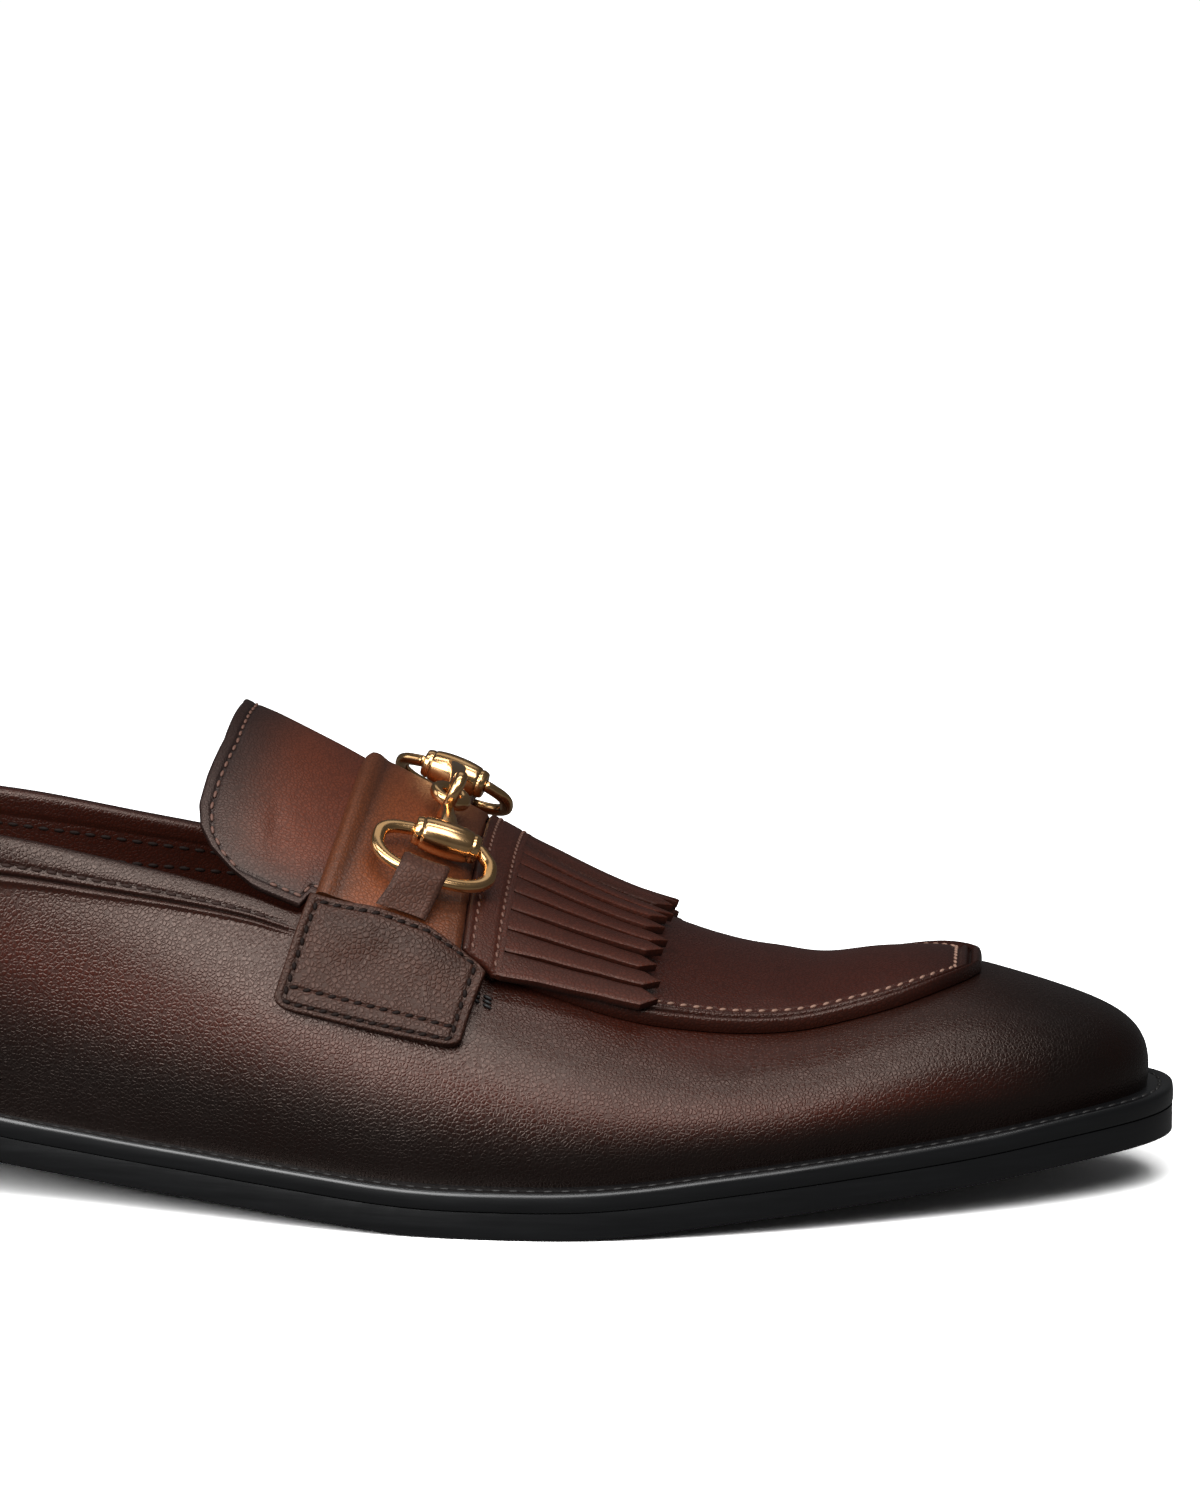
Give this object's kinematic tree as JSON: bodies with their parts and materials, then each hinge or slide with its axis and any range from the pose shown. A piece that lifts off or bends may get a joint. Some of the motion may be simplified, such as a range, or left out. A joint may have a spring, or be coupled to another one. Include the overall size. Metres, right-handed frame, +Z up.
{
  "type": "loafer",
  "caption": "Right kiltie loafer in burnished brown calf with a fringed instep flap, gold-coloured snaffle bit, apron toe, black leather sole and low stacked heel",
  "frame": {"origin": "centre of the heel tread on the floor, under the middle of the heel", "axes": "+X forward to the toe, +Y to the medial side of this right shoe, +Z up"},
  "size_m": [0.305, 0.1044, 0.0817],
  "materials": {
    "calf": "semi-gloss, burnished",
    "calf_warm": "semi-gloss",
    "calf_grey": "semi-gloss, burnished",
    "calf_tan": "semi-gloss",
    "sole_edge": "inked and polished edge",
    "insole": "plain",
    "heel_edge": "inked and polished edge",
    "lift": "matt",
    "gold": "polished"
  },
  "bodies": {
    "root": {"outsole": "sole_edge", "welt": "sole_edge", "insole": "insole", "heel_stack": "heel_edge", "top_lift": "lift", "upper": "calf", "apron": "calf", "tongue": "calf_grey", "saddle_band": "calf_warm", "kiltie": "calf", "tab_lateral": "calf_grey", "tab_medial": "calf_grey", "bit_ring_lateral": "gold", "keeper_lateral": "calf_tan", "bit_ring_medial": "gold", "keeper_medial": "calf_tan", "bit_bar_lateral": "gold", "bit_bar_medial": "gold"}
  },
  "joints": []
}
